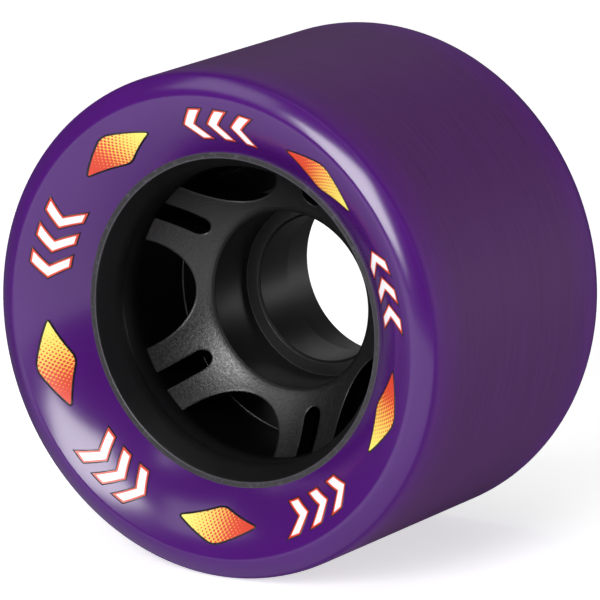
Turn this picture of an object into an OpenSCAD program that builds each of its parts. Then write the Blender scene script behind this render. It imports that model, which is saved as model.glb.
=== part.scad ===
// Roller skate wheel: a cast urethane tyre bonded on a moulded nylon hub.
// The axle runs along Y, the dished front of the wheel faces -Y, and the
// origin is the middle of the wheel. Outlines are lists of [radius, depth],
// where depth is measured along the axle from the front lip of the tyre.

/* [Tyre] */
// Diameter over the tread
tyre_d = 62; // [56:0.5:70]
// Width from front lip to back lip
tyre_w = 41; // [36:0.5:46]
// Front lip, distance inside the tread on the radius
lip_inset = 2.65; // [2.4:0.05:3.2]
// Radius of the round on the front lip
lip_round = 1.2; // [0.6:0.1:1.6]
// How far the front face bulges in front of a straight cone
face_bulge = 0.6; // [0:0.05:0.8]
// How far the front shoulder bulges in front of a straight cone
shoulder_bulge = 0.16; // [0:0.02:0.2]
// Outer edge of the front shoulder, depth behind the front lip
shoulder_y = 1.4; // [1:0.1:2]
// Round from the front shoulder to the tread, size along the radius
front_round_r = 0.4; // [0.2:0.1:0.6]
// Round from the front shoulder to the tread, size along the axle
front_round_y = 1.3; // [0.8:0.1:2]
// Back shoulder, size of its round along the radius
back_round_r = 1.7; // [1:0.1:4]
// Back shoulder, size of its round along the axle
back_round_y = 3; // [1:0.1:5]
// Radius of the small round from the back lip to the back face
back_lip_round = 1; // [0.4:0.1:2]

/* [Hub barrel] */
// Outside diameter of the hub's rims, where the tyre's side faces end
rim_d = 41.1; // [40:0.1:44]
// Width of the bare edge of the front rim
rim_lip = 0.75; // [0.6:0.05:1.4]
// Radius of the round from that edge into the dish
rim_round = 0.25; // [0.1:0.05:0.5]
// Width of the bare edge of the back rim
back_lip = 1.5; // [0.8:0.1:2]
// Depth of each rim, along the axle, before the buried band rises
rim_h = 1.5; // [0.6:0.1:3]
// Front rim, depth behind the tyre's front lip
front_recess = 5.3; // [3:0.1:7]
// Back rim, depth inside the tyre's back lip
back_recess = 1.7; // [0.6:0.1:3]
// Height of the barrel's buried band above the rims
band_h = 1.3; // [0.6:0.1:2.5]
// Number of grooves round the buried band, which lock the tyre on
grooves = 3; // [1:1:4]
// Width of one locking groove
groove_w = 4; // [3:0.5:5]
// Depth of one locking groove
groove_depth = 1; // [0.5:0.1:1.2]
// Flare of the dish's mouth, on the radius, in front of its straight wall
dish_flare = 1.5; // [0.8:0.1:2]
// Flare of the dish's mouth, along the axle
flare_y = 3.3; // [1.5:0.1:4.5]
// Radius of the fillet where the dish wall meets the spokes
dish_fillet = 0.4; // [0.2:0.1:0.8]

/* [Bearing seats] */
// Diameter of the bearing seats
seat_d = 22; // [20:0.5:23]
// Length of the straight wall of each seat
seat_l = 7.3; // [6:0.1:8]
// Lead-in chamfer at the mouth of each seat
seat_lead = 0.3; // [0.2:0.1:0.6]
// Diameter of the passage between the seats
bore_d = 18.3; // [12:0.1:19]
// Chamfer at each end of the passage
bore_lead = 0.3; // [0.1:0.1:0.5]
// Distance between the two bearing shoulders
land_l = 6.8; // [4:0.1:10]
// Back end of the bearing tube, depth inside the tyre's back lip
tube_inset = 0.9; // [0:0.1:2]

/* [Web] */
// Number of forked spokes, and of windows between them
spokes = 5; // [3:1:6]
// Angle of the first spoke above the horizontal, seen from the front
spoke_angle = 0.5; // [0:0.5:72]
// Slope of the dished web at the seat, from the plane of the wheel
web_angle = 30; // [24:1:34]
// Radius of the dished web in section
web_r = 24; // [24:1:40]
// Thickness of the web along the axle
web_t = 3; // [2:0.1:4]
// Diameter of the round windows, which the dish wall cuts short
window_d = 15.6; // [13:0.1:16.5]
// Width of the web left between seat and windows
window_ring = 1.9; // [1.4:0.1:3]
// Depth of the windows' moulded wall behind the mouth of the front seat
window_depth = 4.2; // [3:0.1:6]
// Width of the slot that forks each spoke
slot_w = 2.4; // [1.5:0.1:3.2]
// Width of the web left between seat and slots
slot_ring = 2.2; // [1.4:0.1:3]

/* [Back of the hub] */
// Wall of the bearing tube at its back end
tube_wall = 2.2; // [1.6:0.1:3]
// Extra wall that the tube has where it meets the web
tube_draft = 0.4; // [0.1:0.1:1]
// Height of the step inside the windows, where the two halves of the mould meet
core_step = 0.2; // [0.1:0.1:0.4]
// Thickness of the ribs across the trench, two behind each spoke
rib_t = 2; // [1:0.1:2.5]
// Back edge of the ribs, depth inside the end of the tube
rib_inset = 5; // [1:0.5:12]

/* [Hidden] */
$fn = 96;
// Steps along a small round in an outline
arc_steps = 10;
// Steps along the dished web in section
web_steps = 6;
// How far the ribs are sunk into the tube and the web
rib_sink = 1;
// Angles at which the round on the front lip meets the face and the shoulder
lip_in = 21;
lip_out = 20;
// Part of an ellipse that the round from the shoulder to the tread takes
tread_turn = 60;

tyre_r = tyre_d / 2;
rim_r = rim_d / 2;
seat_r = seat_d / 2;
bore_r = bore_d / 2;
window_r = window_d / 2;

// Depths along the axle
back_rim_y = tyre_w - back_recess;
tube_end_y = tyre_w - tube_inset;
back_seat_y = tube_end_y - seat_lead;
back_shoulder_y = back_seat_y - seat_l;
front_shoulder_y = back_shoulder_y - land_l;
front_seat_y = front_shoulder_y - seat_l;
mouth_y = front_seat_y - seat_lead;
mouth_r = seat_r + seat_lead;
window_floor_y = mouth_y + window_depth;

// Radii of the barrel, the dish and the trench
band_r = rim_r + band_h;
dish_front_r = rim_r - rim_lip;
dish_foot_r = dish_front_r - dish_flare;
core_r = dish_foot_r - core_step;
tube_back_r = seat_r + tube_wall;
tube_foot_r = tube_back_r + tube_draft;
window_pitch_r = seat_r + window_ring + window_r;
slot_start_r = seat_r + slot_ring + slot_w / 2;

// The fillet at the foot of the dish wall touches the web here
foot_angle = web_slope(dish_foot_r);
foot_touch_r = dish_foot_r - dish_fillet * (1 - sin(foot_angle));
foot_centre = [dish_foot_r - dish_fillet, web_y(foot_touch_r) - dish_fillet * cos(foot_angle)];

// The round at the dish's mouth has its centre here
flare_angle = atan(dish_flare / flare_y);
rim_centre = [
    dish_front_r + rim_round * (cos(flare_angle) - tan(flare_angle) * (1 - sin(flare_angle))),
    front_recess + rim_round
];

// Each spoke's two ribs stand midway between the slot and the windows
spoke_half_w = dish_foot_r * sin(180 / spokes - window_half_angle(dish_foot_r));
rib_offset = (slot_w / 2 + spoke_half_w) / 2;

// Slope of the web's front face at a radius
function web_slope(r) = asin(sin(web_angle) + (r - mouth_r) / web_r);

// Depth of the web's front face at a radius
function web_y(r) = mouth_y - web_r * (cos(web_angle) - cos(web_slope(r)));

// Half the angle that a window spans at a radius, by the law of cosines
function window_half_angle(r) =
    acos((r * r + window_pitch_r * window_pitch_r - window_r * window_r) / (2 * r * window_pitch_r));

// Points on an elliptical round about a centre
function arc(centre, half_r, half_y, from, to) = [
    for (i = [0 : arc_steps])
        let (t = from + (to - from) * i / arc_steps)
            centre + [half_r * cos(t), half_y * sin(t)]
];

// Points between two ends, which bulge towards the front of the wheel
function bulged(from, to, bulge) = [
    for (i = [1 : arc_steps - 1])
        let (s = i / arc_steps)
            from + (to - from) * s - [0, 4 * bulge * s * (1 - s)]
];

// Outside of the barrel from front to back, shared by the hub and the tyre
function barrel_outside() =
    let (
        front = front_recess + rim_h,
        back = back_rim_y - rim_h,
        pitch = (back - front - 2 * band_h) / grooves
    )
    concat(
        [[rim_r, front_recess], [rim_r, front], [band_r, front + band_h]],
        [
            for (i = [0 : grooves - 1])
                let (middle = front + band_h + (i + 0.5) * pitch)
                    for (corner = [[0, -1], [1, -1], [1, 1], [0, 1]])
                        [
                            band_r - corner[0] * groove_depth,
                            middle + corner[1] * (groove_w / 2 - corner[0] * groove_depth)
                        ]
        ],
        [[band_r, back - band_h], [rim_r, back], [rim_r, back_rim_y]]
    );

// The tyre's outline without its bore, from the front rim round to the back rim
function tyre_outside() =
    let (
        front_rim = [rim_r, front_recess],
        front_lip = arc([tyre_r - lip_inset, lip_round], lip_round, lip_round, 270 - lip_in, 270 + lip_out),
        shoulder_end = [tyre_r - front_round_r, shoulder_y],
        front_half_r = front_round_r / (1 - cos(tread_turn)),
        front_half_y = front_round_y / sin(tread_turn),
        front_centre = [tyre_r - front_half_r, shoulder_y + front_round_y],
        back_crest = [tyre_r - back_round_r, tyre_w],
        back_slope = atan(back_recess / (back_crest[0] - rim_r)),
        back_lip_centre = back_crest - [0, back_lip_round]
    )
    concat(
        [front_rim],
        bulged(front_rim, front_lip[0], face_bulge),
        front_lip,
        bulged(front_lip[arc_steps], shoulder_end, shoulder_bulge),
        arc(front_centre, front_half_r, front_half_y, 360 - tread_turn, 360),
        arc(back_crest - [0, back_round_y], back_round_r, back_round_y, 0, 90),
        after_first(arc(back_lip_centre, back_lip_round, back_lip_round, 90, 90 + back_slope)),
        [[rim_r, back_rim_y]]
    );

// The hub's outline inside the barrel, from the back rim round to the front rim
function hub_inside() = concat(
    [
        [rim_r - back_lip, back_rim_y],
        [core_r, window_floor_y],
        [core_r, web_y(core_r) + web_t],
        [tube_foot_r, web_y(tube_foot_r) + web_t],
        [tube_back_r, tube_end_y],
        [mouth_r, tube_end_y],
        [seat_r, back_seat_y],
        [seat_r, back_shoulder_y],
        [bore_r + bore_lead, back_shoulder_y],
        [bore_r, back_shoulder_y - bore_lead],
        [bore_r, front_shoulder_y + bore_lead],
        [bore_r + bore_lead, front_shoulder_y],
        [seat_r, front_shoulder_y],
        [seat_r, front_seat_y]
    ],
    [
        for (i = [0 : web_steps - 1])
            let (r = mouth_r + (foot_touch_r - mouth_r) * i / web_steps)
                [r, web_y(r)]
    ],
    arc(foot_centre, dish_fillet, dish_fillet, 90 - foot_angle, 0),
    [[dish_foot_r, front_recess + flare_y]],
    arc(rim_centre, rim_round, rim_round, 180 + flare_angle, 270)
);

// Points from the last to the first
function reversed(points) = [for (i = [len(points) - 1 : -1 : 0]) points[i]];

// Points without the first, where the outline already has it
function after_first(points) = [for (i = [1 : len(points) - 1]) points[i]];

// Turns an outline about the axle and lays the axle along Y
module on_axle() {
    rotate([-90, 0, 0])
        translate([0, 0, -tyre_w / 2])
            children();
}

// Places children once for each spoke, or for each window half a step on
module round_hub(half_steps = 0) {
    for (i = [0 : spokes - 1])
        rotate(-spoke_angle - (i + half_steps / 2) * 360 / spokes)
            children();
}

// Round windows between the spokes
module windows() {
    round_hub(1)
        translate([window_pitch_r, 0, 0])
            cylinder(r = window_r, h = window_floor_y);
}

// Slots that fork the spokes, round at their inner ends
module slots() {
    round_hub() {
        translate([slot_start_r, 0, 0])
            cylinder(d = slot_w, h = window_floor_y);
        translate([slot_start_r, -slot_w / 2, 0])
            cube([dish_foot_r, slot_w, window_floor_y]);
    }
}

// Ribs across the back trench, sunk into the tube, the barrel and the web
module ribs() {
    inner_r = tube_back_r - rib_sink;
    outer_r = rim_r - back_lip;
    end_y = tube_end_y - rib_inset;
    front_y = web_t - rib_sink;
    round_hub()
        for (side = [-1, 1])
            translate([0, side * rib_offset, 0])
                rotate([90, 0, 0])
                    linear_extrude(rib_t, center = true)
                        polygon([
                            [inner_r, web_y(inner_r) + front_y],
                            [outer_r, web_y(outer_r) + front_y],
                            [outer_r, end_y],
                            [inner_r, end_y]
                        ]);
}

module tyre() {
    color("#5b2d90")
        on_axle()
            rotate_extrude()
                polygon(concat(tyre_outside(), reversed(barrel_outside())));
}

module hub() {
    color("#2b2b2d")
        on_axle()
            difference() {
                union() {
                    rotate_extrude()
                        polygon(concat(barrel_outside(), hub_inside()));
                    ribs();
                }
                intersection() {
                    cylinder(r = dish_foot_r, h = window_floor_y);
                    union() {
                        windows();
                        slots();
                    }
                }
            }
}

tyre();
hub();
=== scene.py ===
"""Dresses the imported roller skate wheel: a turned urethane tyre, a moulded nylon hub and a printed
ring of chevrons and lozenges, on a pale floor in soft studio light."""

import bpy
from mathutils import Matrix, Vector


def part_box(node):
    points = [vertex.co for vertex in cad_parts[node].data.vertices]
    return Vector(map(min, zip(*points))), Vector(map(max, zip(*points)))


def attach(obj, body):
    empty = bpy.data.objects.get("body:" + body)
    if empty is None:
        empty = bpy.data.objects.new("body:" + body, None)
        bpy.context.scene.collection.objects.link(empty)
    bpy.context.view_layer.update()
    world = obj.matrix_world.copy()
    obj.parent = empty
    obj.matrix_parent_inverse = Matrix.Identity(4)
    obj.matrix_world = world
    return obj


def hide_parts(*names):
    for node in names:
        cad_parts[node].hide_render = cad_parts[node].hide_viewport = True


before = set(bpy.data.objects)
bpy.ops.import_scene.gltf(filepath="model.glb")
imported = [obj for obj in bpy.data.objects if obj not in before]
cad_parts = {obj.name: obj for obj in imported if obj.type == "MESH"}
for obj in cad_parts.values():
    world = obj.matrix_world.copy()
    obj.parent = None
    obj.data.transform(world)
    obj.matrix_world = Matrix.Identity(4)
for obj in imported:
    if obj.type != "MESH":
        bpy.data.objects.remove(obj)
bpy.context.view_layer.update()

import math
from typing import NamedTuple

import bmesh
import bpy
from bpy.props import FloatProperty, FloatVectorProperty, IntProperty, PointerProperty
from mathutils import Matrix, Vector

bl_info = {
    "name": "Roller skate wheel",
    "version": (1, 0, 0),
    "blender": (4, 5, 0),
    "location": "3D View > Sidebar > Wheel",
    "description": "Builds the looks of a roller skate wheel around its packed model",
    "category": "Object",
}

MM = 0.001
BODY = "root"
WHITE = (1, 1, 1, 1)

TYRE_LOW, TYRE_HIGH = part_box("tyre")
TYRE_R = TYRE_HIGH.x
TYRE_W = TYRE_HIGH.y - TYRE_LOW.y
FRONT_Y = TYRE_LOW.y
CENTRE = Vector((0, 0, 0))
AXLE = Vector((0, 1, 0))

# Steps of a round in an outline, of a full turn about the axle and of a printed corner
ARC_STEPS = 14
SPIN_STEPS = 192
CORNER_STEPS = 4

# Points that lie closer than this are one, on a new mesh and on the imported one
MERGE = 0.001 * MM
PACKED_MERGE = 0.002 * MM

# Faces that meet at more than this angle keep a sharp edge
TYRE_CREASE = math.radians(16)
HUB_CREASE = math.radians(20)
MOUTH_CREASE = math.radians(40)

# A face looks forwards or backwards where its normal has at least this share along the axle
FACING = 0.5
# How far behind the hub's foremost point the flat edge of its rim reaches
RIM_FLAT = 0.05 * MM

NYLON_IOR = 1.53
INK_IOR = 1.5
INK_ROUGHNESS = 0.3
BEVEL_SAMPLES = 6

FLOOR_HALF = 2.0
CLIP_START = 10 * MM


# Properties

def linear(hex_colour):
    """Linear colour of an sRGB hex value."""
    parts = [int(hex_colour[i:i + 2], 16) / 255 for i in (1, 3, 5)]
    return tuple(c / 12.92 if c <= 0.04045 else ((c + 0.055) / 1.055) ** 2.4 for c in parts)


def size(name, description, mm):
    """A length that the user sets, with its default in millimetres."""
    return FloatProperty(name=name, description=description, default=mm * MM, precision=5, unit="LENGTH")


def colour(name, description, hex_colour):
    """A colour that the user sets, with its default as an sRGB hex value."""
    return FloatVectorProperty(
        name=name, description=description, default=linear(hex_colour), min=0, max=1, size=3,
        subtype="COLOR",
    )


def angle(name, description, degrees):
    """An angle that the user sets, with its default in degrees."""
    return FloatProperty(name=name, description=description, default=math.radians(degrees), subtype="ANGLE")


class TyreSettings(bpy.types.PropertyGroup):
    """Sizes and colours of the tyre."""

    lip_inset: size("Lip inset", "Front lip, distance inside the tread on the radius", 2.65)
    lip_round: size("Lip round", "Radius of the round on the front lip", 1.2)
    lip_in: angle("Lip, inner angle", "Angle at which the lip's round meets the face", 21)
    lip_out: angle("Lip, outer angle", "Angle at which the lip's round meets the shoulder", 20)
    face_bulge: size("Face bulge", "How far the front face bulges from a straight cone", 0.6)
    shoulder_bulge: size("Shoulder bulge", "How far the front shoulder bulges from a straight cone", 0.1)
    shoulder_y: size("Shoulder depth", "Front shoulder's outer edge, depth behind the front lip", 1.15)
    front_round_r: size("Front round, radial", "Round from shoulder to tread, along the radius", 0.4)
    front_round_y: size("Front round, axial", "Round from shoulder to tread, along the axle", 1.55)
    tread_turn: angle("Front round, turn", "Part of an ellipse that the front round takes", 60)
    back_round_r: size("Back round, radial", "Back shoulder, size of its round along the radius", 1.7)
    back_round_y: size("Back round, axial", "Back shoulder, size of its round along the axle", 3)
    back_lip_round: size("Back lip round", "Radius of the round from the back lip to the back face", 1)
    ground_w: size("Ground edge", "How far the matte finish runs down a shoulder, on the radius", 0.62)
    # Width of the tread's painted edge sheen, as it fades into the tread's colour
    sheen_fade_w: size("Edge fade", "Width over which the tread's edges fade into its own colour", 8)
    rim_r: size("Rim radius", "Outside radius of the hub's rims", 20.55)
    front_recess: size("Front recess", "Front rim, depth behind the front lip", 5.3)
    back_recess: size("Back recess", "Back rim, depth inside the back lip", 1.7)
    rim_h: size("Rim height", "Depth of each rim before the buried band rises", 1.5)
    band_h: size("Band height", "Height of the buried band above the rims", 1.3)
    moulded: colour("Moulded urethane", "Colour of the glossy moulded faces", "#460d69")
    ground: colour("Ground urethane", "Colour of the tread, which the lathe leaves matte", "#4e275e")
    # The tread's edges: part moulded colour, part painted sheen, purpler and a little lighter than the
    # tread in place of the side light's sheen on them
    edge_tint_and_sheen: colour("Ground edge", "Colour of the tread's edges, where the lathe cuts less", "#52226e")


class HubSettings(bpy.types.PropertyGroup):
    """Sizes and colours of the hub's finish."""

    rim_outer_r: size("Rim edge, outside", "Outside radius of the front rim's bare edge", 20.55)
    rim_inner_r: size("Rim edge, inside", "Inside radius of the front rim's bare edge", 19.85)
    mouth_y: size("Mouth depth", "Depth behind the rim to which the dish's mouth is softly rounded", 4)
    seat_mouth_r: size("Seat mouth", "Radius of the mouth of the front bearing seat", 11.3)
    wall_front: size("Straight wall", "Depth of the dish's straight wall behind the tyre's front lip", 9.2)
    # Painted shade: the depth over which the hub's inner wall darkens towards the web
    shade_fade_depth: size("Wall fade", "Depth over which the wall fades into the dark behind the web", 4)
    grain: size("Moulded grain", "Spacing of the fine grain that the mould leaves on the web", 0.35)
    nylon: colour("Nylon", "Colour of the moulded nylon", "#1c1c1e")
    rim_edge: colour("Trimmed rim", "Colour of the rim's edge, scuffed where it was trimmed", "#302e34")


class PrintSettings(bpy.types.PropertyGroup):
    """Sizes and colours of the printed ring."""

    groups: IntProperty(
        name="Groups", description="Number of chevron groups, with a lozenge between each two", default=5
    )
    middle_r: size("Ring radius", "Radius of the middle of the printed ring", 24.6)
    turn: angle("Turn", "Angle of the first chevron group above the horizontal", 90)
    chevron_half: size("Chevron, half height", "Half of a chevron's height, on the radius", 2.2)
    chevron_arm: size("Chevron, arm", "Width of a chevron's arms, along the ring", 2)
    chevron_point: size("Chevron, point", "How far a chevron's point stands in front of its arms", 1.8)
    chevron_tail: size("Chevron, tail", "Distance from a chevron's place on the ring to its tail", 2.2)
    chevron_step: size("Chevron, step", "Distance between the chevrons of a group", 3.3)
    chevron_black: size("Chevron, black line", "Width of a chevron's black outline", 0.13)
    chevron_red: size("Chevron, red line", "Width of a chevron's red outline", 0.2)
    lozenge_half_l: size("Lozenge, half length", "Half of a lozenge's length, along the ring", 6)
    lozenge_half_h: size("Lozenge, half height", "Half of a lozenge's height, on the radius", 2.3)
    lozenge_round: size("Lozenge, rounding", "Size of the rounds on a lozenge's corners", 0.9)
    lozenge_black: size("Lozenge, black line", "Width of a lozenge's black outline", 0.22)
    blend_half: size("Blend", "Half of the length over which a lozenge blends from yellow to red", 5)
    dot_pitch: size("Dot pitch", "Spacing of the dots that make the blend", 0.42)
    cell: size("Cell", "Size of the cells that let the ink follow the curved face", 0.6)
    ink_lift: size("Ink lift", "Height of the ink above the tyre's face", 0.03)
    ink_film: size("Ink film", "Thickness of the ink", 0.018)
    white: colour("White ink", "Fill of the chevrons", "#f2f1f6")
    red: colour("Red ink", "Inner outline of the chevrons, and the dark end of the blend", "#d5402a")
    orange: colour("Orange ink", "Middle of the lozenges' blend", "#f08c2a")
    yellow: colour("Yellow ink", "Light end of the lozenges' blend", "#f7ea72")
    black: colour("Black ink", "Outer outlines", "#1d1722")


class StageSettings(bpy.types.PropertyGroup):
    """Camera, floor and light."""

    azimuth: angle("Azimuth", "Camera's angle round the wheel from its front", 31.96)
    elevation: angle("Elevation", "Camera's angle above the horizon", 13.27)
    distance: size("Distance", "Distance from the camera to its aim", 761.3)
    aim_drop: size("Aim drop", "How far the camera aims below the wheel's centre", 0.45)
    lens: FloatProperty(name="Lens", description="Camera's focal length", default=374.5, unit="CAMERA")
    floor: colour("Floor", "Colour of the pale floor", "#f4f4f4")
    pool_centre: FloatVectorProperty(
        name="Pool centre", description="Middle of the pool of light on the floor",
        default=(12 * MM, -190 * MM), size=2, unit="LENGTH",
    )
    pool_half: FloatVectorProperty(
        name="Pool size", description="Half the width and length of the pool of light",
        default=(120 * MM, 140 * MM), size=2, unit="LENGTH",
    )
    ambient: FloatProperty(name="Ambient", description="Strength of the light from all round", default=0.08)


# Materials

def add(tree, kind, inputs=None, **settings):
    """Adds a node, sets its properties, and sets or links its inputs."""
    node = tree.nodes.new(kind)
    for key, value in settings.items():
        setattr(node, key, value)
    for key, value in (inputs or {}).items():
        if isinstance(value, bpy.types.NodeSocket):
            tree.links.new(value, node.inputs[key])
        else:
            node.inputs[key].default_value = value
    return node


def new_material(name):
    """An empty node material and its tree."""
    material = bpy.data.materials.new(name)
    material.use_nodes = True
    material.node_tree.nodes.clear()
    return material, material.node_tree


def shade(rgb, factor):
    """A colour made lighter or darker, with full opacity."""
    return tuple(min(1, c * factor) for c in rgb) + (1,)


def axle_distance(tree, place):
    """The distance from the axle, as a socket."""
    flat = add(tree, "ShaderNodeVectorMath", {0: place, 1: (1, 0, 1)}, operation="MULTIPLY")
    length = add(tree, "ShaderNodeVectorMath", {0: flat.outputs["Vector"]}, operation="LENGTH")
    return length.outputs["Value"]


def cast_urethane(settings):
    """Polyurethane cast in a polished mould and then trued on a lathe: a glossy skin over a deep colour on
    the side faces, which ends at the shoulders in a matte tread with fine lines round the axle."""
    # The cast colour drifts slowly, and the polished faces have faint waves
    drift_size = 9 * MM
    drift = 0.1
    wave_size = 5 * MM
    # The lathe's lines are drawn coarser than they are, so that they show
    line_step = 0.35 * MM
    line_length = 9 * MM
    line_contrast = 0.25
    relief_depth = 0.06 * MM
    polished = 0.19
    matte = 0.6

    material, tree = new_material("cast_urethane")
    place = add(tree, "ShaderNodeTexCoord").outputs["Object"]
    depth = add(tree, "ShaderNodeSeparateXYZ", {"Vector": place}).outputs["Y"]
    radius = axle_distance(tree, place)
    gloss_end = TYRE_R - settings.ground_w
    cut_start = TYRE_R - settings.ground_w / 2
    outwards = add(
        tree, "ShaderNodeMapRange", {"Value": radius, "From Min": gloss_end, "From Max": cut_start},
        interpolation_type="SMOOTHSTEP",
    )
    ground = outwards.outputs["Result"]
    cut = add(
        tree, "ShaderNodeMapRange", {"Value": radius, "From Min": cut_start, "From Max": TYRE_R},
        interpolation_type="SMOOTHSTEP",
    )
    edge_y = TYRE_W / 2 - settings.shoulder_y
    off_middle = add(tree, "ShaderNodeMath", {0: depth}, operation="ABSOLUTE")
    painted_fade = add(
        tree, "ShaderNodeMapRange",
        {"Value": off_middle.outputs["Value"], "From Min": edge_y, "From Max": edge_y - settings.sheen_fade_w},
        interpolation_type="SMOOTHSTEP",
    )

    cloud = add(tree, "ShaderNodeTexNoise", {"Vector": place, "Scale": 1 / drift_size, "Detail": 2.0})
    moulded = add(
        tree, "ShaderNodeMix",
        {
            "Factor": cloud.outputs["Fac"],
            "A": shade(settings.moulded, 1 - drift), "B": shade(settings.moulded, 1 + drift),
        },
        data_type="RGBA",
    )
    along = add(
        tree, "ShaderNodeMapping",
        {"Vector": place, "Scale": (1 / line_length, 1 / line_step, 1 / line_length)},
    )
    lines = add(
        tree, "ShaderNodeTexNoise", {"Vector": along.outputs["Vector"], "Scale": 1.0, "Detail": 4.0}
    )
    # Part moulded colour, part painted sheen: the tread's edges are purpler and a little lighter, fading
    # inwards into the tread's own colour
    faded = add(
        tree, "ShaderNodeMix",
        {
            "Factor": painted_fade.outputs["Result"],
            "A": shade(settings.edge_tint_and_sheen, 1), "B": shade(settings.ground, 1),
        },
        data_type="RGBA",
    )
    streak = add(
        tree, "ShaderNodeMapRange",
        {"Value": lines.outputs["Fac"], "To Min": 1 - line_contrast, "To Max": 1 + line_contrast},
    )
    trued = add(
        tree, "ShaderNodeVectorMath", {0: faded.outputs[2], "Scale": streak.outputs["Result"]},
        operation="SCALE",
    )
    tint = add(
        tree, "ShaderNodeMix",
        {"Factor": cut.outputs["Result"], "A": moulded.outputs[2], "B": trued.outputs["Vector"]},
        data_type="RGBA",
    )

    wave = add(tree, "ShaderNodeTexNoise", {"Vector": place, "Scale": 1 / wave_size, "Detail": 1.0})
    relief = add(
        tree, "ShaderNodeMix", {"Factor": ground, "A": wave.outputs["Fac"], "B": lines.outputs["Fac"]},
        data_type="FLOAT",
    )
    bump = add(
        tree, "ShaderNodeBump",
        {"Height": relief.outputs["Result"], "Strength": 0.3, "Distance": relief_depth},
    )
    skin = add(tree, "ShaderNodeMath", {0: 1.0, 1: ground}, operation="SUBTRACT")
    gloss = add(tree, "ShaderNodeMapRange", {"Value": ground, "To Min": polished, "To Max": matte})
    shader = add(
        tree, "ShaderNodeBsdfPrincipled",
        {
            "Base Color": tint.outputs[2], "Roughness": gloss.outputs["Result"], "Specular IOR Level": 0.15,
            "Normal": bump.outputs["Normal"], "Coat Weight": skin.outputs["Value"],
            "Coat Roughness": polished, "Coat Normal": bump.outputs["Normal"],
        },
    )
    add(tree, "ShaderNodeOutputMaterial", {"Surface": shader.outputs["BSDF"]})
    return material


def grained_nylon(settings):
    """Black nylon from a spark-eroded mould: a satin charcoal with a fine pebbled grain and worn, shiny
    edges."""
    worn_w = 0.35 * MM
    grain_depth = 0.05 * MM
    dull = 0.46
    shiny = 0.28

    material, tree = new_material("grained_nylon")
    place = add(tree, "ShaderNodeTexCoord").outputs["Object"]
    grain = add(tree, "ShaderNodeTexNoise", {"Vector": place, "Scale": 1 / settings.grain, "Detail": 2.0})
    tint = add(
        tree, "ShaderNodeMix",
        {"Factor": grain.outputs["Fac"], "A": shade(settings.nylon, 0.25), "B": shade(settings.nylon, 0.7)},
        data_type="RGBA",
    )
    gloss = add(
        tree, "ShaderNodeMapRange",
        {"Value": grain.outputs["Fac"], "From Min": 0.3, "From Max": 0.7, "To Min": dull, "To Max": shiny},
    )
    edge = add(tree, "ShaderNodeBevel", {"Radius": worn_w}, samples=BEVEL_SAMPLES)
    bump = add(
        tree, "ShaderNodeBump",
        {
            "Height": grain.outputs["Fac"], "Strength": 0.5, "Distance": grain_depth,
            "Normal": edge.outputs["Normal"],
        },
    )
    shader = add(
        tree, "ShaderNodeBsdfPrincipled",
        {
            "Base Color": tint.outputs[2], "Roughness": gloss.outputs["Result"], "IOR": NYLON_IOR,
            "Specular IOR Level": 0.75, "Normal": bump.outputs["Normal"],
        },
    )
    add(tree, "ShaderNodeOutputMaterial", {"Surface": shader.outputs["BSDF"]})
    return material


def smooth_nylon(settings):
    """Black nylon from the polished parts of the mould: darker and smoother than the grained web."""
    cloud_size = 2 * MM
    cloud_depth = 0.04 * MM
    edge_w = 0.15 * MM
    shiny = 0.36
    dull = 0.5

    material, tree = new_material("smooth_nylon")
    place = add(tree, "ShaderNodeTexCoord").outputs["Object"]
    cloud = add(tree, "ShaderNodeTexNoise", {"Vector": place, "Scale": 1 / cloud_size, "Detail": 4.0})
    gloss = add(
        tree, "ShaderNodeMapRange", {"Value": cloud.outputs["Fac"], "To Min": shiny, "To Max": dull}
    )
    edge = add(tree, "ShaderNodeBevel", {"Radius": edge_w}, samples=BEVEL_SAMPLES)
    bump = add(
        tree, "ShaderNodeBump",
        {
            "Height": cloud.outputs["Fac"], "Strength": 0.12, "Distance": cloud_depth,
            "Normal": edge.outputs["Normal"],
        },
    )
    shader = add(
        tree, "ShaderNodeBsdfPrincipled",
        {
            "Base Color": shade(settings.nylon, 0.45), "Roughness": gloss.outputs["Result"],
            "Specular IOR Level": 0.4, "Normal": bump.outputs["Normal"],
        },
    )
    add(tree, "ShaderNodeOutputMaterial", {"Surface": shader.outputs["BSDF"]})
    return material


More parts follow.
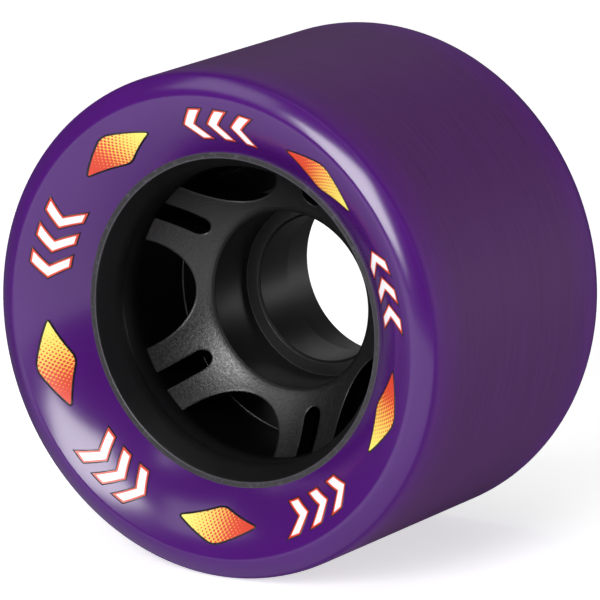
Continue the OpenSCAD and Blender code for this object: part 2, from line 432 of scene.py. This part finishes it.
def nylon_in_painted_shade(settings):
    """Black nylon behind the flared mouth, dull as the mould's cores leave it, with painted shade: full
    nylon colour on the straight wall, darkening with depth to near black behind the web so that the windows
    stay black, in place of the shade that falls inside the hub."""
    cloud_size = 1.5 * MM
    edge_w = 0.3 * MM

    material, tree = new_material("nylon_in_painted_shade")
    place = add(tree, "ShaderNodeTexCoord").outputs["Object"]
    cloud = add(tree, "ShaderNodeTexNoise", {"Vector": place, "Scale": 1 / cloud_size, "Detail": 3.0})
    # Painted shade: the near-black, slightly mottled colour deep inside the hub
    dark = add(
        tree, "ShaderNodeMix",
        {
            "Factor": cloud.outputs["Fac"],
            "A": shade(settings.nylon, 0.06), "B": shade(settings.nylon, 0.12),
        },
        data_type="RGBA",
    )
    # The painted shade deepens with depth, from the straight wall to behind the web
    depth = add(tree, "ShaderNodeSeparateXYZ", {"Vector": place}).outputs["Y"]
    wall_y = FRONT_Y + settings.wall_front
    painted_fade = add(
        tree, "ShaderNodeMapRange",
        {"Value": depth, "From Min": wall_y, "From Max": wall_y + settings.shade_fade_depth},
        interpolation_type="SMOOTHSTEP",
    )
    tint = add(
        tree, "ShaderNodeMix",
        {"Factor": painted_fade.outputs["Result"], "A": shade(settings.nylon, 1), "B": dark.outputs[2]},
        data_type="RGBA",
    )
    edge = add(tree, "ShaderNodeBevel", {"Radius": edge_w}, samples=BEVEL_SAMPLES)
    shader = add(
        tree, "ShaderNodeBsdfPrincipled",
        {
            "Base Color": tint.outputs[2], "Roughness": 0.5, "Specular IOR Level": 0.13,
            "Normal": edge.outputs["Normal"],
        },
    )
    add(tree, "ShaderNodeOutputMaterial", {"Surface": shader.outputs["BSDF"]})
    return material


def trimmed_nylon(settings):
    """The rim's edge where the casting was trimmed: greyer nylon, scuffed, with pale flash specks painted
    light as glints, and a painted highlight along both of its sides where the rounded edges catch the
    light."""
    scuff_size = 0.5 * MM
    scuff_depth = 0.05 * MM
    edge_w = 0.15 * MM
    half = (settings.rim_outer_r - settings.rim_inner_r) / 2
    middle = settings.rim_inner_r + half
    edge_highlight_start = 0.6 * half
    edge_highlight_end = 0.9 * half

    material, tree = new_material("trimmed_nylon")
    place = add(tree, "ShaderNodeTexCoord").outputs["Object"]
    scuff = add(tree, "ShaderNodeTexNoise", {"Vector": place, "Scale": 1 / scuff_size, "Detail": 6.0})
    # Painted glints: the pale specks of flash are lifted to a light colour
    flash_glints = add(
        tree, "ShaderNodeMapRange", {"Value": scuff.outputs["Fac"], "From Min": 0.55, "From Max": 0.75}
    )
    radius = axle_distance(tree, place)
    offset = add(tree, "ShaderNodeMath", {0: radius, 1: middle}, operation="SUBTRACT")
    aside = add(tree, "ShaderNodeMath", {0: offset.outputs["Value"]}, operation="ABSOLUTE")
    # Painted highlight: a light band along both sides of the rim, where its rounded edges catch the light
    painted_edge_highlight = add(
        tree, "ShaderNodeMapRange",
        {"Value": aside.outputs["Value"], "From Min": edge_highlight_start, "From Max": edge_highlight_end, "To Max": 0.8},
    )
    # The flash glints and the painted edge highlight lighten the rim's colour together
    worn = add(
        tree, "ShaderNodeMath", {0: flash_glints.outputs["Result"], 1: painted_edge_highlight.outputs["Result"]},
        operation="MAXIMUM",
    )
    tint = add(
        tree, "ShaderNodeMix",
        {
            "Factor": worn.outputs["Value"],
            "A": shade(settings.rim_edge, 0.6), "B": shade(settings.rim_edge, 2.4),
        },
        data_type="RGBA",
    )
    edge = add(tree, "ShaderNodeBevel", {"Radius": edge_w}, samples=BEVEL_SAMPLES)
    bump = add(
        tree, "ShaderNodeBump",
        {
            "Height": scuff.outputs["Fac"], "Strength": 0.4, "Distance": scuff_depth,
            "Normal": edge.outputs["Normal"],
        },
    )
    shader = add(
        tree, "ShaderNodeBsdfPrincipled",
        {
            "Base Color": tint.outputs[2], "Roughness": 0.36, "IOR": NYLON_IOR,
            "Normal": bump.outputs["Normal"],
        },
    )
    add(tree, "ShaderNodeOutputMaterial", {"Surface": shader.outputs["BSDF"]})
    return material


def printed_ink(name, rgb):
    """Pad-printing ink: one flat, slightly uneven satin film."""
    film_size = 0.6 * MM

    material, tree = new_material(name)
    place = add(tree, "ShaderNodeTexCoord").outputs["Object"]
    film = add(tree, "ShaderNodeTexNoise", {"Vector": place, "Scale": 1 / film_size, "Detail": 2.0})
    tint = add(
        tree, "ShaderNodeMix",
        {"Factor": film.outputs["Fac"], "A": shade(rgb, 0.93), "B": shade(rgb, 1.05)},
        data_type="RGBA",
    )
    shader = add(
        tree, "ShaderNodeBsdfPrincipled",
        {"Base Color": tint.outputs[2], "Roughness": INK_ROUGHNESS, "IOR": INK_IOR},
    )
    add(tree, "ShaderNodeOutputMaterial", {"Surface": shader.outputs["BSDF"]})
    return material


def blended_ink(settings):
    """Pad-printing inks blended from yellow to red by a halftone of small dots, on the motif's own map,
    which is in millimetres."""
    half = settings.blend_half / MM
    dots = MM / settings.dot_pitch
    screen_angle = math.radians(45)
    largest_dot = 0.75

    material, tree = new_material("blended_ink")
    place = add(tree, "ShaderNodeUVMap", uv_map="motif").outputs["UV"]
    across = add(tree, "ShaderNodeSeparateXYZ", {"Vector": place}).outputs["X"]
    share = add(tree, "ShaderNodeMapRange", {"Value": across, "From Min": -half, "From Max": half})
    blend = share.outputs["Result"]
    screen = add(
        tree, "ShaderNodeMapping",
        {"Vector": place, "Rotation": (0, 0, screen_angle), "Scale": (dots, dots, 1)},
    )
    cell = add(tree, "ShaderNodeVectorMath", {0: screen.outputs["Vector"]}, operation="FRACTION")
    offset = add(
        tree, "ShaderNodeVectorMath", {0: cell.outputs["Vector"], 1: (0.5, 0.5, 0)}, operation="SUBTRACT"
    )
    distance = add(tree, "ShaderNodeVectorMath", {0: offset.outputs["Vector"]}, operation="LENGTH")
    radius = add(tree, "ShaderNodeMath", {0: blend, 1: largest_dot}, operation="MULTIPLY")
    dot = add(
        tree, "ShaderNodeMath", {0: distance.outputs["Value"], 1: radius.outputs["Value"]},
        operation="LESS_THAN",
    )
    ramp = add(tree, "ShaderNodeValToRGB", {"Fac": blend})
    ramp.color_ramp.elements[0].color = shade(settings.yellow, 1)
    ramp.color_ramp.elements[1].color = shade(settings.orange, 1)
    tint = add(
        tree, "ShaderNodeMix",
        {"Factor": dot.outputs["Value"], "A": ramp.outputs["Color"], "B": shade(settings.red, 1)},
        data_type="RGBA",
    )
    shader = add(
        tree, "ShaderNodeBsdfPrincipled",
        {"Base Color": tint.outputs[2], "Roughness": INK_ROUGHNESS, "IOR": INK_IOR},
    )
    add(tree, "ShaderNodeOutputMaterial", {"Surface": shader.outputs["BSDF"]})
    return material


def studio_floor(settings):
    """A plain pale floor that the camera sees as white, with the shadow, and that lights the wheel from
    below. Gloss mirrors it as a pool of light in front of the wheel, which gives the moulded faces a light
    side and a dark one."""
    # Level of the pool and of the floor round it, and where it has faded out, as a share of its size
    pool_light = 0.7
    pool_dark = 0.1
    pool_end = 1.4
    # Glow that makes up for the lamps' light, near the wheel and far from it, and those distances in metres
    near_glow = 0.6
    far_glow = 1.0
    near_end = 0.35
    far_start = 1.5
    # Glow that lights the wheel
    bounce = 0.4

    material, tree = new_material("studio_floor")
    rays = add(tree, "ShaderNodeLightPath").outputs
    place = add(tree, "ShaderNodeTexCoord").outputs["Object"]
    centre = (*settings.pool_centre, TYRE_LOW.z)
    half = (*settings.pool_half, 1)
    offset = add(tree, "ShaderNodeVectorMath", {0: place, 1: centre}, operation="SUBTRACT")
    share = add(tree, "ShaderNodeVectorMath", {0: offset.outputs["Vector"], 1: half}, operation="DIVIDE")
    reach = add(tree, "ShaderNodeVectorMath", {0: share.outputs["Vector"]}, operation="LENGTH")
    pool = add(
        tree, "ShaderNodeMapRange",
        {
            "Value": reach.outputs["Value"], "From Min": 1.0, "From Max": pool_end,
            "To Min": pool_light, "To Max": pool_dark,
        },
    )
    tint = add(
        tree, "ShaderNodeMix",
        {"Factor": rays["Is Glossy Ray"], "A": shade(settings.floor, 1), "B": pool.outputs["Result"]},
        data_type="RGBA",
    )
    matte = add(tree, "ShaderNodeBsdfDiffuse", {"Color": tint.outputs[2]})

    away = add(tree, "ShaderNodeVectorMath", {0: place}, operation="LENGTH")
    white = add(
        tree, "ShaderNodeMapRange",
        {
            "Value": away.outputs["Value"], "From Min": near_end, "From Max": far_start,
            "To Min": near_glow, "To Max": far_glow,
        },
    )
    mirrored = add(tree, "ShaderNodeMath", {0: pool.outputs["Result"], 1: near_glow}, operation="MULTIPLY")
    bounced = add(tree, "ShaderNodeMath", {0: rays["Is Diffuse Ray"], 1: bounce}, operation="MULTIPLY")
    unseen = add(
        tree, "ShaderNodeMath",
        {0: rays["Is Glossy Ray"], 1: mirrored.outputs["Value"], 2: bounced.outputs["Value"]},
        operation="MULTIPLY_ADD",
    )
    level = add(
        tree, "ShaderNodeMath",
        {0: rays["Is Camera Ray"], 1: white.outputs["Result"], 2: unseen.outputs["Value"]},
        operation="MULTIPLY_ADD",
    )
    glow = add(tree, "ShaderNodeEmission", {"Color": WHITE, "Strength": level.outputs["Value"]})
    lifted = add(tree, "ShaderNodeAddShader", {0: matte.outputs["BSDF"], 1: glow.outputs["Emission"]})
    add(tree, "ShaderNodeOutputMaterial", {"Surface": lifted.outputs["Shader"]})
    return material


def studio_world(settings):
    """Faint even light from all round, which the camera sees as white."""
    world = bpy.data.worlds.new("studio")
    world.use_nodes = True
    tree = world.node_tree
    tree.nodes.clear()
    rays = add(tree, "ShaderNodeLightPath").outputs
    level = add(
        tree, "ShaderNodeMapRange",
        {"Value": rays["Is Camera Ray"], "To Min": settings.ambient, "To Max": 1.0},
    )
    sky = add(tree, "ShaderNodeBackground", {"Color": WHITE, "Strength": level.outputs["Result"]})
    add(tree, "ShaderNodeOutputWorld", {"Surface": sky.outputs["Background"]})
    return world


# Modelling

def arc(centre, half_r, half_y, start, end):
    """Points on an elliptical round, as (radius, depth)."""
    turns = [start + (end - start) * i / ARC_STEPS for i in range(ARC_STEPS + 1)]
    return [(centre[0] + half_r * math.cos(turn), centre[1] + half_y * math.sin(turn)) for turn in turns]


def bulged_depth(start, end, bulge, r):
    """Depth at a radius of a face that bulges forwards between its two end points, as a parabola."""
    share = (r - start[0]) / (end[0] - start[0])
    return start[1] + (end[1] - start[1]) * share - 4 * bulge * share * (1 - share)


def bulged(start, end, bulge):
    """Points between two ends, which bulge towards the front of the wheel."""
    radii = [start[0] + (end[0] - start[0]) * i / ARC_STEPS for i in range(1, ARC_STEPS)]
    return [(r, bulged_depth(start, end, bulge, r)) for r in radii]


def front_lip(tyre):
    """The round on the front lip, from the face to the shoulder."""
    forwards = 1.5 * math.pi
    centre = (TYRE_R - tyre.lip_inset, tyre.lip_round)
    return arc(centre, tyre.lip_round, tyre.lip_round, forwards - tyre.lip_in, forwards + tyre.lip_out)


def front_face_ends(tyre):
    """The two ends of the front face, at the rim and at the lip."""
    return (tyre.rim_r, tyre.front_recess), front_lip(tyre)[0]


def tyre_outline(tyre):
    """The tyre's section as (radius, depth) points, from the front rim round to its bore."""
    front_rim, face_end = front_face_ends(tyre)
    lip = front_lip(tyre)
    shoulder_end = (TYRE_R - tyre.front_round_r, tyre.shoulder_y)
    front_half_r = tyre.front_round_r / (1 - math.cos(tyre.tread_turn))
    front_half_y = tyre.front_round_y / math.sin(tyre.tread_turn)
    front_centre = (TYRE_R - front_half_r, tyre.shoulder_y + tyre.front_round_y)
    back_rim = (tyre.rim_r, TYRE_W - tyre.back_recess)
    crest_r = TYRE_R - tyre.back_round_r
    back_slope = math.atan(tyre.back_recess / (crest_r - tyre.rim_r))
    lip_r = tyre.back_lip_round
    band_r = tyre.rim_r + tyre.band_h
    front_step = tyre.front_recess + tyre.rim_h
    back_step = TYRE_W - tyre.back_recess - tyre.rim_h
    bore = [
        (tyre.rim_r, back_step), (band_r, back_step - tyre.band_h),
        (band_r, front_step + tyre.band_h), (tyre.rim_r, front_step),
    ]
    return (
        [front_rim] + bulged(front_rim, face_end, tyre.face_bulge)
        + lip + bulged(lip[-1], shoulder_end, tyre.shoulder_bulge)
        + arc(front_centre, front_half_r, front_half_y, -tyre.tread_turn, 0)
        + arc((crest_r, TYRE_W - tyre.back_round_y), tyre.back_round_r, tyre.back_round_y, 0, math.pi / 2)
        + arc((crest_r, TYRE_W - lip_r), lip_r, lip_r, math.pi / 2, math.pi / 2 + back_slope)[1:]
        + [back_rim] + bore
    )


def turned(outline):
    """Spins a closed outline of (radius, depth) points about the axle."""
    mesh = bmesh.new()
    ring = [mesh.verts.new((r, FRONT_Y + depth, 0)) for r, depth in outline]
    edges = [mesh.edges.new((ring[i - 1], ring[i])) for i in range(len(ring))]
    bmesh.ops.spin(
        mesh, geom=ring + edges, cent=CENTRE, axis=AXLE, angle=math.tau, steps=SPIN_STEPS, use_merge=True
    )
    bmesh.ops.remove_doubles(mesh, verts=mesh.verts, dist=MERGE)
    bmesh.ops.recalc_face_normals(mesh, faces=mesh.faces)
    return mesh


def smooth_by_angle(mesh, limit):
    """Smooth shading with sharp edges where faces meet at more than an angle."""
    for face in mesh.faces:
        face.smooth = True
    for edge in mesh.edges:
        edge.smooth = len(edge.link_faces) == 2 and edge.calc_face_angle() < limit


def radius_of(point):
    """Distance of a point from the axle."""
    return math.hypot(point.x, point.z)


def finished(mesh, name, materials):
    """Makes an object of a bmesh, gives it its materials and lets it ride with the wheel."""
    data = bpy.data.meshes.new(name)
    mesh.to_mesh(data)
    mesh.free()
    piece = bpy.data.objects.new(name, data)
    bpy.context.scene.collection.objects.link(piece)
    for material in materials:
        data.materials.append(material)
    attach(piece, BODY)
    return piece


class WHEEL_OT_tyre(bpy.types.Operator):
    """Turns the urethane tyre, with moulded faces and a ground tread"""

    bl_idname = "wheel.tyre"
    bl_label = "Tyre"

    def execute(self, context):
        settings = context.scene.wheel_tyre
        mesh = turned(tyre_outline(settings))
        smooth_by_angle(mesh, TYRE_CREASE)
        tyre = finished(mesh, "turned_tyre", [cast_urethane(settings)])
        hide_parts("tyre")
        return {"FINISHED"}


HUB_FINISHES = (smooth_nylon, grained_nylon, trimmed_nylon, nylon_in_painted_shade)


def hub_finish(face, rim_y, wall_y, settings):
    """The finish of one of the hub's faces, by where it lies and which way it looks."""
    middle = face.calc_center_median()
    radius = radius_of(middle)
    if radius > settings.rim_inner_r and middle.y < rim_y + RIM_FLAT:
        return trimmed_nylon
    if radius <= settings.seat_mouth_r or middle.y <= wall_y or face.normal.y >= FACING:
        return smooth_nylon
    # Deeper faces that look sideways get the nylon with painted shade
    return grained_nylon if face.normal.y < -FACING else nylon_in_painted_shade


class WHEEL_OT_hub(bpy.types.Operator):
    """Gives the moulded hub smooth rounds and its finishes"""

    bl_idname = "wheel.hub"
    bl_label = "Hub"

    def execute(self, context):
        settings = context.scene.wheel_hub
        mesh = bmesh.new()
        mesh.from_mesh(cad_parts["hub"].data)
        bmesh.ops.remove_doubles(mesh, verts=mesh.verts, dist=PACKED_MERGE)
        for layer in list(mesh.loops.layers.uv.values()):
            mesh.loops.layers.uv.remove(layer)

        # The cut lets the smooth finish of the mouth and the painted shade of the wall behind it meet in a
        # clean line
        rim_y = min(v.co.y for v in mesh.verts)
        wall_y = FRONT_Y + settings.wall_front
        bmesh.ops.bisect_plane(
            mesh, geom=mesh.verts[:] + mesh.edges[:] + mesh.faces[:], dist=MERGE,
            plane_co=AXLE * wall_y, plane_no=AXLE,
        )
        for face in mesh.faces:
            face.material_index = HUB_FINISHES.index(hub_finish(face, rim_y, wall_y, settings))

        smooth_by_angle(mesh, HUB_CREASE)
        for edge in mesh.edges:
            in_mouth = max(v.co.y for v in edge.verts) < rim_y + settings.mouth_y
            if in_mouth and edge.calc_face_angle(math.pi) < MOUTH_CREASE:
                edge.smooth = True
        hub = finished(mesh, "moulded_hub", [finish(settings) for finish in HUB_FINISHES])
        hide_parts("hub")
        return {"FINISHED"}


def chevron_corners(settings):
    """Corners of a chevron that points along the ring, as (along, outwards)."""
    half = settings.chevron_half
    tail = -settings.chevron_tail
    arm_end = tail + settings.chevron_arm
    return [
        (tail, half), (arm_end, half), (arm_end + settings.chevron_point, 0),
        (arm_end, -half), (tail, -half), (tail + settings.chevron_point, 0),
    ]


def lozenge_corners(settings):
    """Corners of a lozenge that lies along the ring, as (along, outwards)."""
    half_l = settings.lozenge_half_l
    half_h = settings.lozenge_half_h
    return [(-half_l, 0), (0, half_h), (half_l, 0), (0, -half_h)]


def flat_motif(corners, rounding, outlines):
    """A flat motif with the given corners, and with its outlines inset into it.
    The outermost outline has the first material and the fill has the last."""
    mesh = bmesh.new()
    verts = [mesh.verts.new((along, outwards, 0)) for along, outwards in corners]
    mesh.faces.new(verts).normal_update()
    if rounding:
        bmesh.ops.bevel(
            mesh, geom=verts, offset=rounding, segments=CORNER_STEPS, profile=0.5, affect="VERTICES",
            material=-1,
        )
    fill = mesh.faces[:][0]
    for i, width in enumerate(outlines):
        ring = bmesh.ops.inset_region(
            mesh, faces=[fill], thickness=width, use_boundary=True, use_even_offset=True
        )["faces"]
        for face in ring:
            face.material_index = i
        fill.material_index = i + 1
    return mesh


def lay_on_face(mesh, turn, tyre, settings):
    """Cuts a flat motif into small cells and lays it on the tyre's front face."""
    for axis in range(2):
        normal = Vector((1 - axis, axis, 0))
        low = min(v.co[axis] for v in mesh.verts)
        high = max(v.co[axis] for v in mesh.verts)
        for i in range(1, int((high - low) / settings.cell) + 1):
            bmesh.ops.bisect_plane(
                mesh, geom=mesh.verts[:] + mesh.edges[:] + mesh.faces[:],
                plane_co=normal * (low + i * settings.cell), plane_no=normal,
            )
    places = mesh.loops.layers.uv.new("motif")
    for face in mesh.faces:
        for loop in face.loops:
            loop[places].uv = (loop.vert.co.x / MM, loop.vert.co.y / MM)
    start, end = front_face_ends(tyre)
    for v in mesh.verts:
        bend = turn + v.co.x / settings.middle_r
        r = settings.middle_r + v.co.y
        y = FRONT_Y + bulged_depth(start, end, tyre.face_bulge, r) - settings.ink_lift
        v.co = (r * math.cos(bend), y, r * math.sin(bend))
    for face in mesh.faces:
        face.smooth = True
        face.normal_update()
        if face.normal.y > 0:
            face.normal_flip()
    bmesh.ops.solidify(mesh, geom=mesh.faces[:], thickness=settings.ink_film)


def joined(motifs):
    """One bmesh of several."""
    whole = bmesh.new()
    for mesh in motifs:
        data = bpy.data.meshes.new("motif")
        mesh.to_mesh(data)
        mesh.free()
        whole.from_mesh(data)
        bpy.data.meshes.remove(data)
    return whole


class WHEEL_OT_print(bpy.types.Operator):
    """Prints a ring of chevrons and lozenges on the tyre's front face"""

    bl_idname = "wheel.print"
    bl_label = "Printed ring"

    def execute(self, context):
        tyre = context.scene.wheel_tyre
        settings = context.scene.wheel_print
        chevron = chevron_corners(settings)
        chevron_lines = (settings.chevron_black, settings.chevron_red)
        chevron_turn = settings.chevron_step / settings.middle_r
        lozenge = lozenge_corners(settings)
        chevrons = []
        lozenges = []
        for group in range(settings.groups):
            turn = settings.turn + group * math.tau / settings.groups
            for place in (-1, 0, 1):
                mesh = flat_motif(chevron, 0, chevron_lines)
                lay_on_face(mesh, turn + place * chevron_turn, tyre, settings)
                chevrons.append(mesh)
            mesh = flat_motif(lozenge, settings.lozenge_round, (settings.lozenge_black,))
            lay_on_face(mesh, turn + math.pi / settings.groups, tyre, settings)
            lozenges.append(mesh)
        black = printed_ink("black_ink", settings.black)
        finished(
            joined(chevrons), "printed_chevrons",
            [black, printed_ink("red_ink", settings.red), printed_ink("white_ink", settings.white)],
        )
        finished(joined(lozenges), "printed_lozenges", [black, blended_ink(settings)])
        return {"FINISHED"}


class SoftLight(NamedTuple):
    """A rectangular soft light: its place round the wheel in degrees and metres, its size in metres and
    its power."""

    name: str
    azimuth: float
    elevation: float
    distance: float
    width: float
    height: float
    watts: float


LIGHTS = (
    SoftLight("key_light", azimuth=5, elevation=22, distance=0.6, width=0.3, height=0.31, watts=3.0),
    SoftLight("fill_light", azimuth=-35, elevation=40, distance=0.7, width=0.32, height=0.25, watts=0.4),
    SoftLight("side_light", azimuth=118, elevation=5, distance=0.8, width=0.7, height=0.2, watts=2.4),
    SoftLight("top_light", azimuth=40, elevation=80, distance=0.9, width=0.6, height=0.6, watts=2.2),
    SoftLight("back_light", azimuth=205, elevation=30, distance=0.8, width=0.5, height=0.5, watts=0.4),
)


def towards(azimuth, elevation, distance):
    """A point at an azimuth, elevation and distance from the wheel's centre."""
    flat = distance * math.cos(elevation)
    return Vector((flat * math.sin(azimuth), -flat * math.cos(azimuth), distance * math.sin(elevation)))


def placed(name, data, place, aim):
    """Adds a light or a camera at a place, turned to a point."""
    thing = bpy.data.objects.new(name, data)
    thing.location = place
    thing.rotation_euler = (aim - place).to_track_quat("-Z", "Y").to_euler()
    bpy.context.scene.collection.objects.link(thing)
    return thing


def soft_light(light):
    """Adds a soft light that shines on the wheel."""
    data = bpy.data.lights.new(light.name, "AREA")
    data.shape = "RECTANGLE"
    data.size = light.width
    data.size_y = light.height
    data.energy = light.watts
    place = towards(math.radians(light.azimuth), math.radians(light.elevation), light.distance)
    placed(light.name, data, place, CENTRE)


class WHEEL_OT_stage(bpy.types.Operator):
    """Sets the floor, the soft lights and the camera"""

    bl_idname = "wheel.stage"
    bl_label = "Stage"

    def execute(self, context):
        scene = context.scene
        settings = scene.wheel_stage
        mesh = bmesh.new()
        bmesh.ops.create_grid(
            mesh, x_segments=1, y_segments=1, size=FLOOR_HALF, matrix=Matrix.Translation((0, 0, TYRE_LOW.z))
        )
        data = bpy.data.meshes.new("floor")
        mesh.to_mesh(data)
        mesh.free()
        data.materials.append(studio_floor(settings))
        floor = bpy.data.objects.new("floor", data)
        scene.collection.objects.link(floor)

        for light in LIGHTS:
            soft_light(light)
        scene.world = studio_world(settings)

        camera_data = bpy.data.cameras.new("camera")
        camera_data.lens = settings.lens
        camera_data.clip_start = CLIP_START
        aim = Vector((0, 0, -settings.aim_drop))
        place = aim + towards(settings.azimuth, settings.elevation, settings.distance)
        scene.camera = placed("camera", camera_data, place, aim)
        scene.view_settings.view_transform = "Standard"
        return {"FINISHED"}


class WHEEL_PT_panel(bpy.types.Panel):
    """Lists the wheel's pieces and their settings"""

    bl_idname = "WHEEL_PT_panel"
    bl_label = "Roller skate wheel"
    bl_space_type = "VIEW_3D"
    bl_region_type = "UI"
    bl_category = "Wheel"

    def draw(self, context):
        for operator, group in PIECES:
            box = self.layout.box()
            box.operator(operator.bl_idname)
            settings = getattr(context.scene, group)
            for name in type(settings).__annotations__:
                box.prop(settings, name)


GROUPS = {
    "wheel_tyre": TyreSettings,
    "wheel_hub": HubSettings,
    "wheel_print": PrintSettings,
    "wheel_stage": StageSettings,
}
PIECES = (
    (WHEEL_OT_tyre, "wheel_tyre"),
    (WHEEL_OT_hub, "wheel_hub"),
    (WHEEL_OT_print, "wheel_print"),
    (WHEEL_OT_stage, "wheel_stage"),
)


def register():
    """Registers the settings, the operators and the panel."""
    for name, group in GROUPS.items():
        bpy.utils.register_class(group)
        setattr(bpy.types.Scene, name, PointerProperty(type=group))
    for operator, _ in PIECES:
        bpy.utils.register_class(operator)
    bpy.utils.register_class(WHEEL_PT_panel)


def unregister():
    """Removes what register added."""
    bpy.utils.unregister_class(WHEEL_PT_panel)
    for operator, _ in reversed(PIECES):
        bpy.utils.unregister_class(operator)
    for name, group in GROUPS.items():
        delattr(bpy.types.Scene, name)
        bpy.utils.unregister_class(group)


def main():
    """Builds every piece and the stage."""
    register()
    bpy.ops.wheel.tyre()
    bpy.ops.wheel.hub()
    bpy.ops.wheel.print()
    bpy.ops.wheel.stage()


if __name__ == "__main__":
    main()
